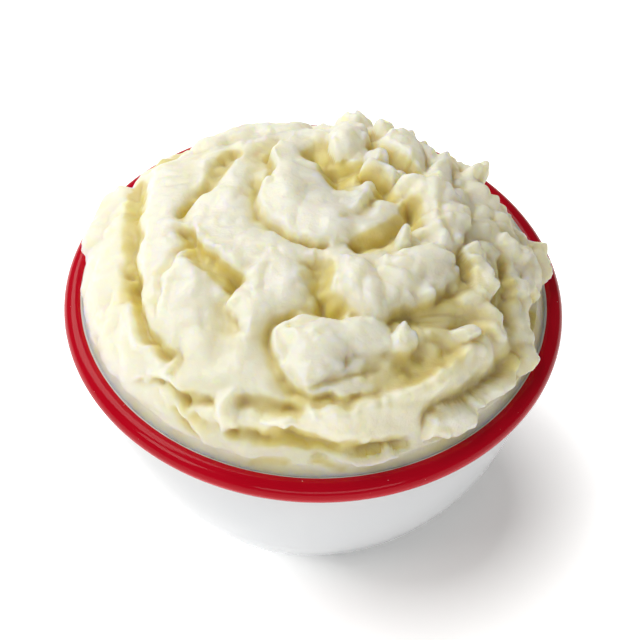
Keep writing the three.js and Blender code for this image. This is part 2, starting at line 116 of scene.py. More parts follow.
# The floor, and its painted glow that fades the bowl's cast shadow: weak near a point right and in
# front of the bowl, then stronger
FLOOR_HALF = 3
GLOW_X = 0.030
GLOW_Y = -0.026
GLOW_BAND = (0.032, 0.065)
GLOW_STRENGTH = (0.13, 0.8)
FLOOR_TONES = ((0.90, 0.90, 0.90), (0.92, 0.92, 0.92))

# Potato colours, from the palest crests to painted shade in creases and hollows, and painted shade on
# the side away from the key
PALEST = (0.905, 0.89, 0.79)
CREAM = (0.86, 0.83, 0.65)
CREASE_SHADE = (0.77, 0.69, 0.35)
DEEP_SHADE = (0.72, 0.6, 0.19)
SHADE_SIDE = (0.66, 0.6, 0.44)
POTATO_ROUGH = (0.36, 0.55)
POTATO_BLEED = (1.0, 0.8, 0.16)
POTATO_BLEED_SCALE = 0.008
POTATO_BUMP = 0.5

# Between which amounts of painted shade, in mm, each colour takes over; and how the painted shade
# shifts across places in metres,
# with its value at either end: random clouds, more on the side away from the key, more towards the
# front, less near the top
CREAM_FROM = (-1.5, 0.8)
CREASE_SHADE_FROM = (1.0, 3.0)
DEEP_SHADE_FROM = (3.0, 6.0)
CLOUDY_SHIFT = (-0.8, 0.8)
RIGHT_SHADE_SHIFT = (0.0, 0.05, 0.0, 0.9)
FRONT_SHIFT = (-0.062, -0.045, 0.7, 0.0)
TOP_SHIFT = (0.078, 0.092, 0.0, -1.0)
SHADE_SIDE_SHARE = (0.01, 0.06, 0.0, 0.3)

# Noise scales of the materials
POTATO_CLOUDS = 60
POTATO_FINE = 420
POTATO_GRAIN = 260
RED_CLOUDS = 40
WHITE_CLOUDS = 30
GLOSS_CLOUDS = 120
ENAMEL_WAVES = 55
EDGE_WAVES = 90
SPECKS = 1400
FLOOR_CLOUDS = 8

# Enamel colours, each with its cloudy variation
RED_TONES = ((0.445, 0.001, 0.011), (0.485, 0.002, 0.014))
# The white is greyer than white enamel: painted shade on the bowl's body
GREYED_WHITE_TONES = ((0.63, 0.65, 0.67), (0.66, 0.675, 0.69))
SPECK = (0.85, 0.55, 0.55)
ENAMEL_ROUGH = (0.08, 0.14)
ENAMEL_SHINE = 0.13
RED_EDGE = math.radians(115.6)
RED_BLUR = 0.06
RED_WANDER = 0.05
BEAD_SKIN = 0.06
SPECK_SHARE = (0.80, 0.83)
ENAMEL_BUMP = 0.12
BUMP_DEPTH = 0.0008


def make_camera():
    target = Vector((0, 0, BOWL_H / 2 * MM))
    ce, se = math.cos(CAM_ELEVATION), math.sin(CAM_ELEVATION)
    place = target + CAM_DISTANCE * Vector((0, -ce, se))
    look = Vector((0, ce, -se))
    right = Vector((1, 0, 0))
    up = right.cross(look)
    look = (look * math.cos(CAM_PAN) * math.cos(CAM_TILT)
            + right * math.sin(CAM_PAN) + up * math.sin(CAM_TILT)).normalized()
    right = look.cross(Vector((0, 0, 1))).normalized()
    up = right.cross(look)
    c, s = math.cos(CAM_ROLL), math.sin(CAM_ROLL)
    x, y = c * right + s * up, c * up - s * right
    data = bpy.data.cameras.new("camera")
    data.lens = CAM_LENS
    data.sensor_width = SENSOR
    data.clip_start = NEAR_CLIP
    cam = bpy.data.objects.new("camera", data)
    cam.matrix_world = Matrix.Translation(place) @ Matrix((x, y, -look)).transposed().to_4x4()
    bpy.context.scene.collection.objects.link(cam)
    bpy.context.scene.camera = cam


make_camera()


# Helpers for shapes
def mix(a, b, t):
    return a + (b - a) * t


def ease(a, b, x):
    t = np.clip((x - a) / (b - a), 0, 1)
    return t * t * (3 - 2 * t)


def mesh_object(name, verts, faces):
    mesh = bpy.data.meshes.new(name)
    mesh.from_pydata([tuple(v) for v in verts], [], faces)
    mesh.validate()
    mesh.polygons.foreach_set("use_smooth", [True] * len(mesh.polygons))
    mesh.update()
    obj = bpy.data.objects.new(name, mesh)
    bpy.context.scene.collection.objects.link(obj)
    return obj


# The bowl's section, from the axis out and up to the rim
def wall_r(z):
    return NECK_R - (NECK_R - WALL_FOOT_R) * max(0, 1 - z / NECK_Z) ** WALL_POWER


def outer_section(heel_steps, wall_steps):
    pts = [(0, RECESS_H), (RECESS_IN_R, RECESS_H)]
    for i in range(1, SHOULDER_STEPS):
        t = i / SHOULDER_STEPS
        pts.append((mix(RECESS_IN_R, RECESS_R, t), RECESS_H * (1 - t * t * (3 - 2 * t))))
    pts += [(RECESS_R, 0), (FOOT_R, 0)]
    end = (wall_r(HEEL_Z), HEEL_Z)
    for i in range(1, heel_steps + 1):
        t = i / heel_steps
        r = (1 - t) ** 2 * FOOT_R + 2 * t * (1 - t) * WALL_FOOT_R + t * t * end[0]
        pts.append((r, t * t * end[1]))
    for i in range(1, wall_steps + 1):
        z = mix(HEEL_Z, NECK_Z, i / wall_steps)
        pts.append((wall_r(z), z))
    return pts


def inset(pts, d):
    """The same section, moved in by d."""
    out = []
    for i, p in enumerate(pts):
        a, b = pts[max(0, i - 1)], pts[min(len(pts) - 1, i + 1)]
        length = math.hypot(b[0] - a[0], b[1] - a[1])
        out.append((0 if i == 0 else p[0] - (b[1] - a[1]) / length * d,
                    p[1] + (b[0] - a[0]) / length * d))
    return out


def spin(name, section, sides):
    """A closed solid turned about Z, from a section that starts and ends on the axis."""
    rings = section[1:-1]
    verts = [(r * math.cos(math.tau * k / sides) * MM, r * math.sin(math.tau * k / sides) * MM,
              z * MM) for r, z in rings for k in range(sides)]
    top = len(verts)
    verts += [(0, 0, section[0][1] * MM), (0, 0, section[-1][1] * MM)]
    faces = []
    last = (len(rings) - 1) * sides
    for k in range(sides):
        n = (k + 1) % sides
        faces.append((top, k, n))
        for j in range(len(rings) - 1):
            a, b = j * sides, (j + 1) * sides
            faces.append((a + k, b + k, b + n, a + n))
        faces.append((top + 1, last + n, last + k))
    return mesh_object(name, verts, faces)


def make_bowl():
    outer = outer_section(*FINE_STEPS)
    inner = inset(outer, SHEET)
    inner[-1] = (NECK_R - SHEET, NECK_Z)
    section = list(inner)
    stop = -math.acos((NECK_R - BEAD_C) / BEAD_R)
    for i in range(BEAD_STEPS):
        a = mix(math.pi, stop, i / BEAD_STEPS)
        section.append((BEAD_C + BEAD_R * math.cos(a), BEAD_Z + BEAD_R * math.sin(a)))
    section += outer[::-1]
    return spin("enamel_bowl", section, BOWL_SIDES)


# The plain dome, unrolled: (u, v) in mm along the surface from the top
DOME_STEPS = 600
_a = np.linspace(0, math.pi / 2, DOME_STEPS + 1)
_reach = ((np.sin(_a) / HEAP_R) ** HEAP_POWER
          + (np.maximum(np.cos(_a), 0) / HEAP_H) ** HEAP_POWER) ** (-1 / HEAP_POWER)
DOME_LINE_R = _reach * np.sin(_a)
DOME_LINE_Z = _reach * np.maximum(np.cos(_a), 0)
_step = np.hypot(np.diff(DOME_LINE_R), np.diff(DOME_LINE_Z))
DOME_LINE_S = np.concatenate([[0], np.cumsum(_step)])
DOME_S = DOME_LINE_S[-1]
_slope = np.gradient(DOME_LINE_Z) / np.hypot(np.gradient(DOME_LINE_R), np.gradient(DOME_LINE_Z))
DOME_LINE_NR = -_slope
DOME_LINE_NZ = np.sqrt(np.maximum(0, 1 - _slope ** 2))


def dice(i, j):
    x = np.sin(i * 127.1 + j * 311.7) * 43758.5453
    return x - np.floor(x)


def noise(x, y):
    """Smooth noise from -1 to 1, the same every time."""
    i, j = np.floor(x), np.floor(y)
    fx, fy = ease(0, 1, x - i), ease(0, 1, y - j)
    low = mix(dice(i, j), dice(i + 1, j), fx)
    high = mix(dice(i, j + 1), dice(i + 1, j + 1), fx)
    return 2 * mix(low, high, fy) - 1


# Spoon work on the heap, much as in the CAD part. Each stroke follows (u, v) points in mm.
# swell: a soft rise, half width, height.
# fold:  a torn step, crest on its left width and height, foot on its right width and
#        depth, how torn.
# lobe:  a rounded blob along a line, half width, top, how far its edge is sunk, how torn.
# slab:  a blob inside a closed line, how wide its edge rounds, top, sunk, how torn.
# cut:   a groove, half width left and right of the line, depth.
# the last kind paints light only: no change of shape; half width, how much painted shade, or painted
# highlight where below zero.
STROKES = [
    # broad banks on the left
    ("swell", [(-66, 12), (-64, -3), (-61, -18), (-57, -33), (-50, -46), (-40, -57)], 7, 1),
    ("swell", [(-47, 24), (-46, 6), (-46, -10), (-42, -26), (-37, -38), (-33, -46)], 8, 1),
    ("swell", [(-28, 24), (-28, 12), (-27, 2)], 7, 0.8),
    ("swell", [(-24, -8), (-16, -13), (-6, -15)], 9, 1),
    ("lobe", [(-35, -26), (-34, -36), (-31, -42)], 5, 2.2, 0.6, 1.4),
    ("swell", [(-34, -17), (-31, -22)], 4, 1.6),
    ("slab", [(-22, -24), (-14, -22), (-8, -26), (-10, -34), (-17, -40), (-21, -36)], 6, 2.4, 0.6, 1.6),
    ("swell", [(-23, -48), (-14, -50)], 5, 1.2),
    ("lobe", [(-48, 12), (-49, 2), (-46, -6)], 5, 2.2, 0.6, 1.6),
    ("lobe", [(-44, -14), (-42, -22)], 5, 2.2, 0.6, 1.8),
    ("fold", [(-33, -6), (-39, -14), (-41, -24), (-39, -32)], 4, 0.8, 2.6, 1.6, 1.6),
    ("fold", [(-15, -16), (-21, -22), (-22, -30), (-20, -38)], 4, 0.7, 2.6, 1.4, 1.6),
    # grooves and hollows on the left
    ("cut", [(-56, 24), (-54, 10), (-53, 0), (-54, -8), (-54, -15), (-52, -20)], 3.6, 3.4, 4),
    ("fold", [(-39, -45), (-43, -39), (-47, -33), (-49, -28), (-51, -23), (-55, -15)],
     3, 0.8, 3.8, 4.6, 1.1),
    ("cut", [(-26, 30), (-29, 22), (-32, 16), (-36, 11), (-39, 5)], 3.2, 3.2, 3.8),
    ("fold", [(-29, 13), (-35, 9), (-42, 4)], 3, 0.8, 2.2, 2, 1.8),
    ("cut", [(-38, -3), (-34, -9), (-31, -14), (-26, -18), (-21, -22)], 2.4, 2.6, 4.2),
    ("fold", [(-37, 1), (-31, -9), (-26, -14), (-18, -23)], 4, 1, 2.5, 2.5, 1.4),
    ("cut", [(-24, -28), (-24, -36), (-24, -46)], 3.4, 3.4, 1.2),
    # the crown, its hollow and the crease round it
    ("swell", [(-8, 22), (-9, 10), (-4, 4), (4, 2)], 8, 2.2),
    ("fold", [(-10, 36), (-13, 31), (-14, 26), (-12, 19), (-14, 14), (-17, 12), (-17, 7),
              (-15, 2), (-10, -3), (-3, -6), (5, -6)], 4, 1, 3.2, 3.2, 1.1),
    ("cut", [(-13, 40), (-18, 30), (-18, 20), (-19, 12)], 3, 3, 1.8),
    ("cut", [(1, 31), (4, 25), (6, 19)], 5.5, 5, 5.8),
    ("cut", [(7, 25), (12, 25)], 3, 3, 3.4),
    ("fold", [(10, 4), (14, 9), (16, 16), (15, 23)], 4, 1.4, 3, 2.6, 1.4),
    ("swell", [(6, -1), (14, -1), (19, -3)], 4, 1.2),
    # back lumps
    ("slab", [(3, 44), (6, 52), (11, 54), (16, 48), (14, 36), (10, 30), (4, 34)],
     5.5, 4.2, 1, 2),
    ("slab", [(17, 50), (23, 50), (31, 44), (31, 30), (25, 25), (18, 33)], 6, 4.6, 1, 2),
    ("lobe", [(33, 45), (36, 34), (34, 24)], 4.5, 3.6, 1, 1.8),
    ("cut", [(15, 49), (15, 38)], 1.8, 1.8, 3),
    ("slab", [(14, 31), (17, 33), (21, 29), (20, 25), (15, 24)], 3, 4, 1, 2),
    ("lobe", [(15, 23), (20, 21)], 2.6, 3.6, 1, 1.8),
    ("cut", [(16, 36), (20, 32), (25, 27), (31, 22)], 2, 2, 4.6),
    ("cut", [(14, 20), (18, 19), (20, 13)], 2.4, 2.6, 5.4),
    ("lobe", [(43, 39), (46, 33)], 3, 3.4, 0.5, 1.8),
    # lumps right of the crown
    ("slab", [(22, 17), (32, 21), (39, 15), (42, 6), (40, -4), (35, -8), (30, 0), (28, 10)],
     5, 4.8, 0.5, 2),
    ("cut", [(27, 10), (27, 4), (22, 0), (18, -4), (13, -7)], 3, 3.5, 5.4),
    ("slab", [(23, -2), (27, -1), (27, -8), (23, -9)], 2.4, 4, 1, 1.4),
    # big lobes below them
    ("slab", [(20, -13), (28, -8), (35, -5), (41, -11), (38, -18), (30, -24), (22, -25),
              (17, -19)], 7, 5.6, 0.5, 1.8),
    ("slab", [(6, -13), (12, -14), (20, -18), (25, -22), (22, -27), (17, -32), (10, -30),
              (6, -22)], 7.5, 4.8, 0.5, 1.4),
    ("fold", [(18, -32), (24, -27), (30, -25), (36, -20), (42, -13)], 3, 0.8, 4, 4, 1.4),
    ("cut", [(42, -5), (41, -13)], 1.8, 1.8, 4.2),
    ("cut", [(27, -30), (41, -29)], 4.5, 4.5, 2.8),
    ("slab", [(19, -40), (20, -35), (25, -33), (27, -38), (24, -42)], 2.4, 4, 0.5, 2.6),
    ("slab", [(36, -31), (41, -28), (43, -32), (40, -36), (37, -34)], 2.6, 3.6, 0.5, 2.4),
    ("cut", [(26, -43), (34, -39)], 4.5, 4.5, 2.8),
    ("cut", [(0, -16), (0, -25), (3, -30)], 4.5, 3.5, 5.4),
    # the front lump and the crease round it
    ("lobe", [(2, -38), (10, -37), (16, -36)], 5, 3.6, 0.5, 1.6),
    ("slab", [(-8, -36), (-2, -34), (4, -34), (9, -39), (8, -44), (3, -49), (-2, -51),
              (-5, -48), (-7, -42)], 6, 5, 0, 1.7),
    ("fold", [(8, -32), (0, -32), (-7, -33), (-10, -37), (-10, -42), (-8, -46), (-6, -50),
              (-1, -53), (8, -53)], 3, 0.6, 4, 3.6, 1.1),
    ("fold", [(2, -50), (8, -47), (14, -44)], 2, 0.8, 2.5, 1.4, 1.4),
    ("cut", [(2, -57), (9, -56), (17, -53)], 1.8, 2, 1.8),
    ("cut", [(17, -46), (26, -46)], 4.5, 4.5, 2.2),
    # right side
    ("swell", [(45, 26), (51, 20), (57, 14)], 5, 1.6),
    ("lobe", [(44, -4), (47, -11), (46, -18)], 3.4, 3.6, 0.5, 1.5),
    ("fold", [(49, -21), (50, -14), (49, -6)], 3, 1, 2.5, 3.8, 1.2),
    ("cut", [(54, -2), (55, -13)], 2, 2, 4.6),
    ("cut", [(54, -16), (55, -23)], 3, 3, 4.2),
    ("swell", [(43, -21), (48, -23), (53, -29)], 4, 2.2),
    ("lobe", [(56, 6), (64, 5), (68, -2), (64, -11)], 5.5, 3.8, 1, 1.9),
    ("lobe", [(49, -25), (52, -28)], 2.6, 3.8, 0.5, 1.8),
    # sweep across the front
    ("swell", [(44, -34), (40, -38), (34, -45), (25, -52), (14, -57), (3, -59)], 6, 3.2),
    ("fold", [(42, -34), (36, -41), (29, -47), (20, -52), (10, -55)], 3, 0.4, 3, 1.8, 0.7),
    ("cut", [(56, -36), (50, -41), (42, -49), (33, -56)], 3.4, 3, 2.2),
    ("lobe", [(59, -33), (57, -39), (51, -45), (46, -50)], 2.4, 3.2, 1, 0.8),
    ("slab", [(33, -57), (39, -53), (47, -51), (49, -56), (46, -62), (39, -62), (35, -63)],
     3.4, 3.8, 0.5, 2.4),
    # front, near the rim
    ("slab", [(-26, -52), (-19, -53), (-19, -61), (-23, -65), (-26, -60)], 4, 3.2, 0.5, 1.8),
    ("cut", [(-34, -53), (-28, -54)], 2, 2, 2.8),
    ("cut", [(-19, -56), (-4, -58)], 2.2, 2.2, 3),
    ("cut", [(-21, -64), (-6, -66), (8, -67), (27, -65)], 2.4, 2.4, 3.2),
    ("slab", [(-13, -60), (-6, -60), (-4, -62), (-7, -65), (-10, -63)], 2, 3, 0.5, 2),
    ("lobe", [(1, -59), (6, -59)], 2.4, 3.8, 0.5, 1.8),
    ("slab", [(10, -71), (18, -67), (26, -67), (25, -72), (17, -75)], 3, 3, 0.5, 1.8),
    ("cut", [(3, -73), (10, -76)], 2.6, 2.6, 3),
    ("cut", [(-16, -75), (-7, -74)], 2, 2, 2.4),
    ("fold", [(-47, -46), (-38, -49), (-32, -56)], 4, 1.2, 3, 2.2, 1.2),
    ("fold", [(-40, -53), (-34, -60), (-30, -68)], 3, 1, 3, 1.8, 1.2),
    # the edge at the rim: full on the left, torn back on the right
    ("lobe", [(-71, 12), (-69, 20), (-64, 28)], 6, 4.2, 1, 1.6),
    ("swell", [(-47, 54), (-58, 43), (-66, 30)], 6, 1),
    ("swell", [(-68, 27), (-75, 8), (-72, -13), (-71, -27)], 6, 1.6),
    ("lobe", [(73, 14), (78, 4)], 5, 5, 1.5, 1.7),
    ("cut", [(67, -12), (70, -18), (71, -25)], 3.5, 3.5, 5.4),
    ("swell", [(62, -25), (68, -30), (72, -39)], 5, 3.5),
    # the back, worked by the same spoon
    ("swell", [(-52, 32), (-39, 49), (-21, 60)], 7, 1.5),
    ("swell", [(-35, 49), (-14, 56), (14, 56)], 12, -3.2),
    ("lobe", [(-37, 43), (-25, 50), (-10, 52)], 7, 1.6, 2, 1.3),
    ("lobe", [(-2, 62), (14, 60), (25, 52)], 7, 1, 2, 1.4),
    ("lobe", [(39, 47), (47, 39)], 5, 2.5, 1.5, 1.6),
    ("lobe", [(-17, 70), (-2, 72)], 5, 1.2, 1.5, 1.3),
    ("lobe", [(60, 35), (54, 45)], 5, 2, 1.5, 1.4),
    ("cut", [(-49, 35), (-37, 55), (-17, 64), (-4, 66)], 4, 3, 4.2),
    ("cut", [(6, 67), (23, 59), (37, 46)], 3, 4, 4.2),
    ("cut", [(54, 32), (45, 45), (33, 54)], 3.5, 3.5, 3.6),
    ("cut", [(23, 70), (39, 60), (52, 47)], 4, 3, 3.0),
    ("swell", [(-13, 57), (0, 60)], 7, -2.4),
    ("lobe", [(9, 56), (12, 58)], 4, 3.4, 1, 2.2),
    ("lobe", [(19, 49), (21, 53)], 4, 4.4, 1, 1.8),
    ("lobe", [(45, 30), (48, 36)], 3.4, 5.6, 0.5, 1.4),
    ("swell", [(36, 43), (40, 41)], 5, -2.6),
    ("swell", [(56, 42), (60, 36)], 5, -2.6),
    ("swell", [(57, 18), (59, 9)], 4, -2),
    ("lobe", [(69, 14), (74, 6)], 4.5, 5.4, 1, 1.8),
    ("swell", [(71, -4), (75, -20)], 6, -3),
    # painted shade, yellower places
    ("stain", [(13, -5), (18, -9), (22, -8)], 3, 2.5),
    ("stain", [(43, -9), (45, -20), (47, -27)], 3.5, 3),
    ("stain", [(33, -44), (42, -37), (48, -32)], 4, 1.5),
    ("stain", [(54, -6), (57, -14)], 3, 2),
    ("stain", [(-12, -67), (6, -68)], 3.5, 2),
    ("stain", [(-32, -60), (-24, -67)], 4, 1.4),
    ("stain", [(58, -30), (54, -36)], 3, 5),
    ("stain", [(30, -24), (38, -23)], 2.5, 2),
    # painted highlights, paler crests
    ("stain", [(60, -37), (56, -42), (52, -46)], 1.6, -3),
    ("stain", [(49, -53), (42, -57)], 2.6, -3),
    ("stain", [(37, -33), (41, -31)], 2, -2.5),
    ("stain", [(52, -25), (55, -28)], 2, -2.5),
    ("stain", [(20, -14), (30, -10), (38, -9)], 4, -1.5),
    ("stain", [(-46, 22), (-47, 8), (-44, -6)], 4, -1.5),
]
SPLINE_STEPS = 6

# How the strokes are drawn, in mm unless said otherwise
BASE = 1.0
CREASE = 0.8
SOFT = 1.2
STEEP = 1.2
FADE = 4.0
REACH = 2.4
BLOB_REACH = 3
MARGIN = 2
CUT_RAG = 1.1
PAINTED_LIGHT_RAG = 1.5
BITE_SHARE = 0.8
FLAT_SHADE_SHARE = 0.85
FLAT_SHADE_EDGE = (1.5, 0.9)
COVERED = (-0.5, 1.0)

# Chance unevenness: heights and lengths of its waves
WANDER = 1.4
WANDER_LONG = 14
SWELLING = 0.8
SWELLING_LONG = 11
LUMPS = (0.35, 0.6)
LUMPS_LONG = 5
CRUMB = 2.2
CRUMB_LONG = 8
CRUMBS = (0.4, 1)
SHARP_LONG = 9
SHARP_FROM = (-0.25, 0.3)
RAG_WAVES = ((0.75, 6), (0.45, 2.6), (0.05, 1.2))
RAG_STARTS_U = ((7, 1), (4, 6), (9, 14))
RAG_STARTS_V = ((31, 19), (12, 24), (21, 3))

# The part that is torn most, to the right and back
TORN_U = (-10, 40)
TORN_V = (-50, -25)

# Fine tears on edges, the sharpening of the surface, and painted shade where a place lies below its
# surroundings
EDGE_STEP = (0.15, 1.3)
EDGE_BLUR = 60
TEAR = 0.8
TEAR_LONG = 3.2
FINE_TEAR = 0.3
FINE_TEAR_LONG = 1.8
SLANT = (0.5, -0.4)
SHARPEN = 0.5
SHARPEN_BLUR = 12
NEAR_SHADE = 0.8
NEAR_BLUR = 30
WIDE_SHADE = 0.4
WIDE_BLUR = 420
RIM_SHADE = 1.3

# Bands along the heap's edge, in mm from it: where the painted shade of dug places fades, where painted
# shade by the bowl's wall comes in
FADE_BAND = (3, 14)
RIM_SHADE_BAND = (9, 2)


def through(points, closed=False):
    """A smooth line through a stroke's points."""
    p = np.array(points, float)
    n = len(p)
    out = []
    for i in range(n if closed else n - 1):
        if closed:
            a, b, d, e = p[i - 1], p[i], p[(i + 1) % n], p[(i + 2) % n]
        else:
            a, b, d, e = p[max(i - 1, 0)], p[i], p[i + 1], p[min(i + 2, n - 1)]
        for k in range(SPLINE_STEPS):
            t = k / SPLINE_STEPS
            out.append(0.5 * (2 * b + (d - a) * t + (2 * a - 5 * b + 4 * d - e) * t * t
                              + (3 * b - a - 3 * d + e) * t ** 3))
    out.append(p[0] if closed else p[-1])
    return np.array(out)


def away(line, u, v):
    """Distance from each place to a line, below zero on the line's right."""
    best = np.full(u.shape, 1e9)
    side = np.ones(u.shape)
    for (ax, ay), (bx, by) in zip(line[:-1], line[1:]):
        dx, dy = bx - ax, by - ay
        t = np.clip(((u - ax) * dx + (v - ay) * dy) / (dx * dx + dy * dy), 0, 1)
        ex, ey = u - ax - dx * t, v - ay - dy * t
        d = np.hypot(ex, ey)
        near = d < best
        best = np.where(near, d, best)
        side = np.where(near, np.where(dx * ey - dy * ex >= 0, 1.0, -1.0), side)
    return best * side


def within(line, u, v):
    """Distance from each place to a closed line, above zero inside it."""
    inside = np.zeros(u.shape, bool)
    for (ax, ay), (bx, by) in zip(line[:-1], line[1:]):
        if ay != by:
            crosses = (ay > v) != (by > v)
            inside ^= crosses & (u < ax + (v - ay) * (bx - ax) / (by - ay))
    return np.abs(away(line, u, v)) * np.where(inside, 1, -1)


def soft_max(a, b):
    """The higher of two heights, with the crease between them filled a little."""
    m = np.maximum(CREASE - np.abs(a - b), 0) / CREASE
    return np.maximum(a, b) + m * m * CREASE / 4


def waves(u, v, long, start):
    """Noise whose waves are long mm, taken from its own place in the pattern."""
    return noise(u / long + start[0], v / long + start[1])


def ragged(u, v, starts):
    return sum(high * waves(u, v, long, start) for (high, long), start in zip(RAG_WAVES, starts))


def relief(u, v):
    """How far the surface stands off the plain dome, and how much painted shade goes there, mostly
    where it was dug.
    """
    wu = u + WANDER * waves(u, v, WANDER_LONG, (3, 8))
    wv = v + WANDER * waves(u, v, WANDER_LONG, (41, 27))
    torn = ease(*TORN_U, u) * ease(*TORN_V, v)
    h = BASE + SWELLING * waves(u, v, SWELLING_LONG, (5, 9))
    h += mix(*LUMPS, torn) * waves(u, v, LUMPS_LONG, (17, 2))
    tu = ragged(u, v, RAG_STARTS_U)
    tv = ragged(u, v, RAG_STARTS_V)
    sharp = ease(*SHARP_FROM, waves(u, v, SHARP_LONG, (61, 44)))
    shade_marks = np.zeros(u.shape)
    for kind, points, *sizes in STROKES:
        line = through(points, kind == "slab")
        reach = {"swell": REACH * sizes[0], "stain": REACH * sizes[0],
                 "fold": REACH * max(sizes[:3:2]), "cut": REACH * max(sizes[:2]),
                 "lobe": sizes[0] + BLOB_REACH, "slab": BLOB_REACH}[kind] + MARGIN
        lo, hi = line.min(0) - reach, line.max(0) + reach
        near = (u > lo[0]) & (u < hi[0]) & (v > lo[1]) & (v < hi[1])
        rag = {"swell": 0, "stain": PAINTED_LIGHT_RAG, "cut": CUT_RAG}.get(kind, sizes[-1])
        pu, pv = wu[near] + rag * tu[near], wv[near] + rag * tv[near]
        if kind == "swell":
            q = away(line, pu, pv) / sizes[0]
            h[near] += sizes[1] * np.exp(-SOFT * q * q)
        elif kind == "cut":
            left, right, deep = sizes
            d = away(line, pu, pv)
            q = d / np.where(d >= 0, left, right)
            bite = deep * np.exp(-SOFT * q * q)
            h[near] -= BITE_SHARE * bite
            # painted shade in the groove, as deep as its bite, or a flat patch with a crisp edge where
            # the surface is sharp
            stain = FLAT_SHADE_SHARE * deep * ease(*FLAT_SHADE_EDGE, np.abs(q))
            shade_marks[near] += mix(bite, stain, sharp[near])
        elif kind == "fold":
            left, high, right, deep = sizes[:4]
            ends = np.minimum(np.hypot(pu - line[0][0], pv - line[0][1]),
                              np.hypot(pu - line[-1][0], pv - line[-1][1]))
            d = away(line, pu, pv)
            up = ease(-STEEP, STEEP, d)
            bite = (1 - up) * deep * np.exp(-SOFT * (d / right) ** 2) * ease(0, FADE, ends)
            crest = up * high * np.exp(-SOFT * (d / left) ** 2) * ease(0, FADE, ends)
            h[near] += crest - BITE_SHARE * bite
            shade_marks[near] += bite
        elif kind == "stain":
            q = away(line, pu, pv) / sizes[0]
            shade_marks[near] += sizes[1] * np.exp(-SOFT * q * q)
        else:
            w, top, sunk = sizes[:3]
            if kind == "lobe":
                q = np.abs(away(line, pu, pv)) / w
            else:
                q = 1 - np.minimum(within(line, pu, pv) / w, 1)
            blob = -sunk + (top + sunk) * np.sqrt(np.maximum(0, 1 - q * q))
            shade_marks[near] *= 1 - (q < 1) * ease(*COVERED, blob - h[near])
            h[near] = np.where(q < 1, soft_max(h[near], blob), h[near])
    # crumbs and tears, mostly on the right
    crumb = np.abs(waves(wu, wv, CRUMB_LONG, (51, 13)))
    crumb = crumb + 0.5 * np.abs(waves(wu, wv, CRUMB_LONG / 2, (2, 33)))
    return h + mix(*CRUMBS, torn) * CRUMB * (crumb - 0.5), shade_marks


def blur(a, n):
    """Mean over about n cells each way, done as repeated small means."""
    for _ in range(n):
        b = np.pad(a, 1, mode="edge")
        a = (b[:-2, 1:-1] + b[2:, 1:-1] + b[1:-1, :-2] + b[1:-1, 2:] + 2 * a) / 6
    return a


def lip_place(turn):
    """A place just clear of the rolled rim, turned up from its outermost point."""
    turn = math.radians(turn)
    clear = BEAD_R + LIP_CLEAR
    return BEAD_C + clear * math.cos(turn), BEAD_Z + clear * math.sin(turn)


def heap_top(n):
    """The heap's top as a square grid of n cells drawn out to a disc: places, and how much painted
    shade each gets.
    """
    line = np.linspace(-1, 1, n + 1)
    a, b = np.meshgrid(line, line)
    flat = np.abs(a) >= np.abs(b)
    far = np.where(flat, a, b)
    near = np.where(flat, b, a)
    turn = near / np.where(far == 0, 1, far)
    angle = np.where(flat, math.pi / 4 * turn, math.pi / 2 - math.pi / 4 * turn)
    u, v = DOME_S * far * np.cos(angle), DOME_S * far * np.sin(angle)
    s = np.minimum(np.hypot(u, v), DOME_S)
    angle = np.arctan2(v, u)
    h, shade_marks = relief(u, v)
    # tears on edges, slanted so that they don't run straight down a steep side
    edges = ease(*EDGE_STEP, np.abs(h - blur(h, EDGE_BLUR)))
    a, b = u + SLANT[0] * h, v + SLANT[1] * h
    tears = waves(a, b, TEAR_LONG, (71, 5)) + FINE_TEAR * waves(a, b, FINE_TEAR_LONG, (8, 37))
    h += TEAR * edges * tears
    h = blur(h + SHARPEN * (h - blur(h, SHARPEN_BLUR)), 1)
    edge = DOME_S - s
    shade_marks *= ease(*FADE_BAND, edge)
    # painted shade: the strokes' marks, and more where a place lies below its surroundings, near and
    # wide
    painted_shade = shade_marks + NEAR_SHADE * (blur(h, NEAR_BLUR) - h) + WIDE_SHADE * (blur(h, WIDE_BLUR) - h)
    # painted shade along the heap's edge, by the bowl's wall
    painted_shade += RIM_SHADE * ease(*RIM_SHADE_BAND, edge)
    h = h * ease(0, EDGE_BAND, edge)
    r = np.interp(s, DOME_LINE_S, DOME_LINE_R) + np.interp(s, DOME_LINE_S, DOME_LINE_NR) * h
    z = np.interp(s, DOME_LINE_S, DOME_LINE_Z) + np.interp(s, DOME_LINE_S, DOME_LINE_NZ) * h
    over = ease(BOWL_H + OVER_FROM, BOWL_H + OVER_TO, HEAP_Z + z)
    r = np.minimum(r, HEAP_R + OVER_RIM * over)
    # at its edge it leans on the lip
    z = HEAP_Z + np.maximum(z, 0)
    lip_r, lip_z = lip_place(LIP_TURNS[0])
    low = z < TUCK_Z
    z = np.where(low, mix(lip_z, TUCK_Z, (z - HEAP_Z) / (TUCK_Z - HEAP_Z)), z)
    slope = mix(lip_r, HEAP_R - 1, (z - lip_z) / (TUCK_Z - lip_z))
    r = np.where(low, np.maximum(r, slope), r)
    return np.stack([r * np.cos(angle), r * np.sin(angle), z], -1), painted_shade


def round_edge(ids):
    """The grid's border points in order, starting at +X."""
    n = len(ids) - 1
    half = n // 2
    edge = [*ids[half:n, n], *ids[n, n:0:-1], *ids[n:0:-1, 0], *ids[0, :n], *ids[:half, n]]
    return [int(i) for i in edge]


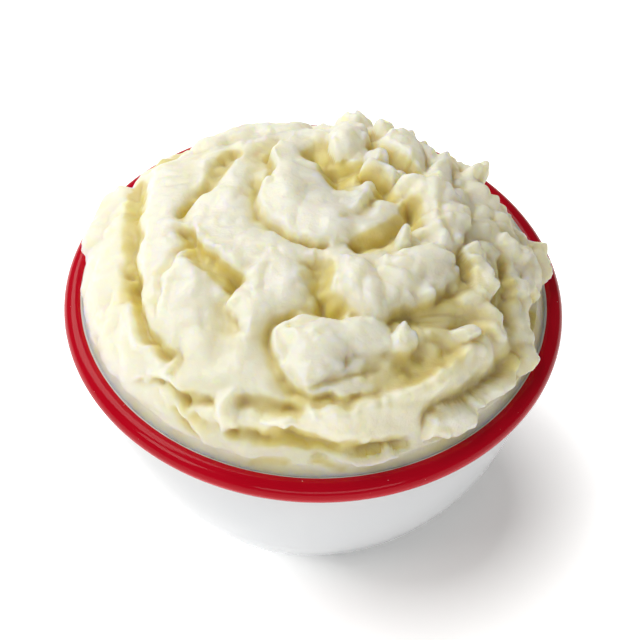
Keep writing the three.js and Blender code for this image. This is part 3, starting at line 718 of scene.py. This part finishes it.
def make_heap():
    n = HEAP_CELLS
    top, painted_shade = heap_top(n)
    top = top.reshape(-1, 3)
    top[:, 2] = np.minimum(top[:, 2], CAD_BOX[1][2] / MM - BELOW_TOP)
    ids = np.arange((n + 1) ** 2).reshape(n + 1, n + 1)
    quads = np.stack([ids[:-1, :-1], ids[:-1, 1:], ids[1:, 1:], ids[1:, :-1]], -1)
    faces = [tuple(q) for q in quads.reshape(-1, 4).tolist()]
    edge = round_edge(ids)

    # the underside follows the inside of the bowl
    sides = HEAP_SIDES
    fine = len(edge) // sides
    rings = [lip_place(turn) for turn in LIP_TURNS[1:]]
    rings += inset(outer_section(*COARSE_STEPS), SHEET + GAP)[1:-1][::-1]
    verts = top.tolist()
    first = len(verts)
    for rr, zz in rings:
        for k in range(sides):
            t = math.tau * k / sides
            verts.append((rr * math.cos(t), rr * math.sin(t), zz))
    for k in range(sides):
        nxt = (k + 1) % sides
        for m in range(fine):
            faces.append((first + k, edge[(k * fine + m + 1) % len(edge)], edge[k * fine + m]))
        faces.append((first + k, first + nxt, edge[(nxt * fine) % len(edge)]))
        for j in range(len(rings) - 1):
            p, q = first + j * sides, first + (j + 1) * sides
            faces.append((p + k, q + k, q + nxt, p + nxt))
    base = len(verts)
    verts.append((0, 0, RECESS_H + SHEET + GAP))
    last = first + (len(rings) - 1) * sides
    for k in range(sides):
        faces.append((base, last + (k + 1) % sides, last + k))
    obj = mesh_object("potato_heap", np.array(verts) * MM, faces)
    # painted shade for the top's colour, none on the underside
    painted_shade_values = np.zeros(len(verts))
    painted_shade_values[:len(top)] = painted_shade.reshape(-1)
    obj.data.attributes.new("painted_shade", "FLOAT", "POINT").data.foreach_set("value", painted_shade_values)
    return obj


# Helpers for materials
class Nodes:
    def __init__(self, name):
        self.material = bpy.data.materials.new(name)
        self.material.use_nodes = True
        self.tree = self.material.node_tree
        self.tree.nodes.clear()
        self.out = self.add("ShaderNodeOutputMaterial")
        self.shader = self.add("ShaderNodeBsdfPrincipled")
        self.tree.links.new(self.shader.outputs[0], self.out.inputs[0])

    def add(self, kind, **values):
        node = self.tree.nodes.new(kind)
        for key, value in values.items():
            setattr(node, key, value)
        return node

    def link(self, source, target):
        if isinstance(source, bpy.types.NodeSocket):
            self.tree.links.new(source, target)
        else:
            target.default_value = source

    def math(self, operation, *inputs):
        node = self.add("ShaderNodeMath", operation=operation)
        for socket, value in zip(node.inputs, inputs):
            self.link(value, socket)
        return node.outputs[0]

    def place(self):
        return self.add("ShaderNodeTexCoord").outputs["Object"]

    def parts(self, vector):
        node = self.add("ShaderNodeSeparateXYZ")
        self.link(vector, node.inputs[0])
        return node.outputs

    def length(self, x, y):
        squares = [self.math("MULTIPLY", side, side) for side in (x, y)]
        return self.math("SQRT", self.math("ADD", *squares))

    def noise(self, vector, scale, detail=2.0, rough=0.5):
        node = self.add("ShaderNodeTexNoise")
        self.link(vector, node.inputs["Vector"])
        node.inputs["Scale"].default_value = scale
        node.inputs["Detail"].default_value = detail
        node.inputs["Roughness"].default_value = rough
        return node.outputs[0]

    def ramp(self, value, low, high, to_low=0.0, to_high=1.0):
        node = self.add("ShaderNodeMapRange")
        for socket, item in zip(node.inputs[:5], (value, low, high, to_low, to_high)):
            self.link(item, socket)
        return node.outputs[0]

    def blend(self, factor, a, b):
        node = self.add("ShaderNodeMix", data_type="RGBA")
        self.link(factor, node.inputs[0])
        for value, socket in ((a, node.inputs[6]), (b, node.inputs[7])):
            self.link((*value, 1) if isinstance(value, tuple) else value, socket)
        return node.outputs[2]

    def clouds(self, vector, scale, detail, low, high):
        """A number or colour that drifts between low and high, by noise."""
        drift = self.noise(vector, scale, detail)
        if isinstance(low, tuple):
            return self.blend(self.ramp(drift, 0.3, 0.7), low, high)
        return self.ramp(drift, 0.3, 0.7, low, high)

    def bump(self, height, strength):
        node = self.add("ShaderNodeBump")
        node.inputs["Strength"].default_value = strength
        node.inputs["Distance"].default_value = BUMP_DEPTH
        self.link(height, node.inputs["Height"])
        return node.outputs[0]

    def set(self, **values):
        for name, value in values.items():
            self.link(value, self.shader.inputs[name.replace("_", " ")])


def potato_material():
    """Painted shade: yellower in creases and hollows and on the side away from the key, paler where it
    stands up, by the mesh's own attribute.
    """
    m = Nodes("mashed_potato")
    place = m.place()
    painted_shade = m.add("ShaderNodeAttribute", attribute_name="painted_shade").outputs["Fac"]
    fine = m.noise(place, POTATO_FINE, 3)
    x, y, z = m.parts(place)
    # painted shade shifted by random clouds and by place, more on the side away from the key
    for shift in (m.clouds(place, POTATO_CLOUDS, 3, *CLOUDY_SHIFT), m.ramp(x, *RIGHT_SHADE_SHIFT),
                  m.ramp(y, *FRONT_SHIFT), m.ramp(z, *TOP_SHIFT)):
        painted_shade = m.math("ADD", painted_shade, shift)
    # colour by painted shade, from the palest crests to the deepest painted shade in creases
    colour = m.blend(m.ramp(painted_shade, *CREAM_FROM), PALEST, CREAM)
    colour = m.blend(m.ramp(painted_shade, *CREASE_SHADE_FROM), colour, CREASE_SHADE)
    colour = m.blend(m.ramp(painted_shade, *DEEP_SHADE_FROM), colour, DEEP_SHADE)
    # painted shade: duller on the side away from the key
    colour = m.blend(m.ramp(x, *SHADE_SIDE_SHARE), colour, SHADE_SIDE)
    m.set(Base_Color=colour, Roughness=m.ramp(fine, 0.3, 0.7, *POTATO_ROUGH))
    m.set(Subsurface_Weight=1.0, Subsurface_Scale=POTATO_BLEED_SCALE)
    m.set(Subsurface_Radius=POTATO_BLEED)
    grain = m.math("ADD", m.noise(place, POTATO_GRAIN, 4, 0.6), m.math("MULTIPLY", fine, 0.5))
    m.set(Normal=m.bump(grain, POTATO_BUMP))
    return m.material


def enamel_material():
    """White greyed as painted shade, with red on the rolled rim as far as a slightly uneven line on its
    inner side.
    """
    m = Nodes("enamel")
    place = m.place()
    x, y, z = m.parts(place)
    out = m.math("SUBTRACT", m.length(x, y), BEAD_C * MM)
    up = m.math("SUBTRACT", z, BEAD_Z * MM)
    wander = m.ramp(m.noise(place, EDGE_WAVES, 2), 0.0, 1.0, -RED_WANDER, RED_WANDER)
    turn = m.math("ADD", m.math("ARCTAN2", up, out), wander)
    on_bead = m.math("LESS_THAN", m.length(out, up), (BEAD_R + BEAD_SKIN) * MM)
    red_part = m.ramp(turn, RED_EDGE, RED_EDGE + RED_BLUR, 1.0, 0.0)
    mask = m.math("MULTIPLY", on_bead, red_part)
    red = m.clouds(place, RED_CLOUDS, 2, *RED_TONES)
    red = m.blend(m.ramp(m.noise(place, SPECKS, 1), *SPECK_SHARE), red, SPECK)
    # white greyed as painted shade on the bowl
    greyed_white = m.clouds(place, WHITE_CLOUDS, 3, *GREYED_WHITE_TONES)
    m.set(Base_Color=m.blend(mask, greyed_white, red))
    m.set(Roughness=m.clouds(place, GLOSS_CLOUDS, 3, *ENAMEL_ROUGH))
    m.set(Specular_IOR_Level=ENAMEL_SHINE)
    m.set(Normal=m.bump(m.noise(place, ENAMEL_WAVES, 2), ENAMEL_BUMP))
    return m.material


def floor_material():
    """Pale floor with a painted glow, weak near the bowl and brighter away from it, so that the cast
    shadow fades out.
    """
    m = Nodes("floor")
    place = m.place()
    m.set(Base_Color=m.blend(m.noise(place, FLOOR_CLOUDS, 2), *FLOOR_TONES), Roughness=0.9)
    m.set(Specular_IOR_Level=0.0)
    x, y = m.parts(place)[:2]
    far = m.length(m.math("SUBTRACT", x, GLOW_X), m.math("SUBTRACT", y, GLOW_Y))
    m.set(Emission_Color=(1, 1, 1, 1), Emission_Strength=m.ramp(far, *GLOW_BAND, *GLOW_STRENGTH))
    return m.material


def softbox(name, place, size, watts, colour):
    data = bpy.data.lights.new(name, "AREA")
    data.shape = "RECTANGLE"
    data.size, data.size_y = size
    data.energy = watts
    data.color = colour
    lamp = bpy.data.objects.new(name, data)
    lamp.location = place
    turn = (Vector(LIGHT_AIM) - Vector(place)).to_track_quat("-Z", "Y")
    lamp.rotation_euler = turn.to_euler()
    bpy.context.scene.collection.objects.link(lamp)


bowl = make_bowl()
bowl.data.materials.append(enamel_material())
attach(bowl, "root")
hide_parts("bowl")

heap = make_heap()
heap.data.materials.append(potato_material())
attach(heap, "root")
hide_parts("mashed_potato")

corners = [(x * FLOOR_HALF, y * FLOOR_HALF, 0) for x, y in ((-1, -1), (1, -1), (1, 1), (-1, 1))]
floor = mesh_object("floor", corners, [(0, 1, 2, 3)])
floor.data.materials.append(floor_material())

for name, values in LIGHTS.items():
    softbox(name, *values)
world = bpy.data.worlds.new("world")
world.use_nodes = True
sky = world.node_tree.nodes["Background"]
sky.inputs[0].default_value = SKY_COLOUR
sky.inputs[1].default_value = SKY_STRENGTH
bpy.context.scene.world = world
bpy.context.scene.view_settings.view_transform = "Standard"
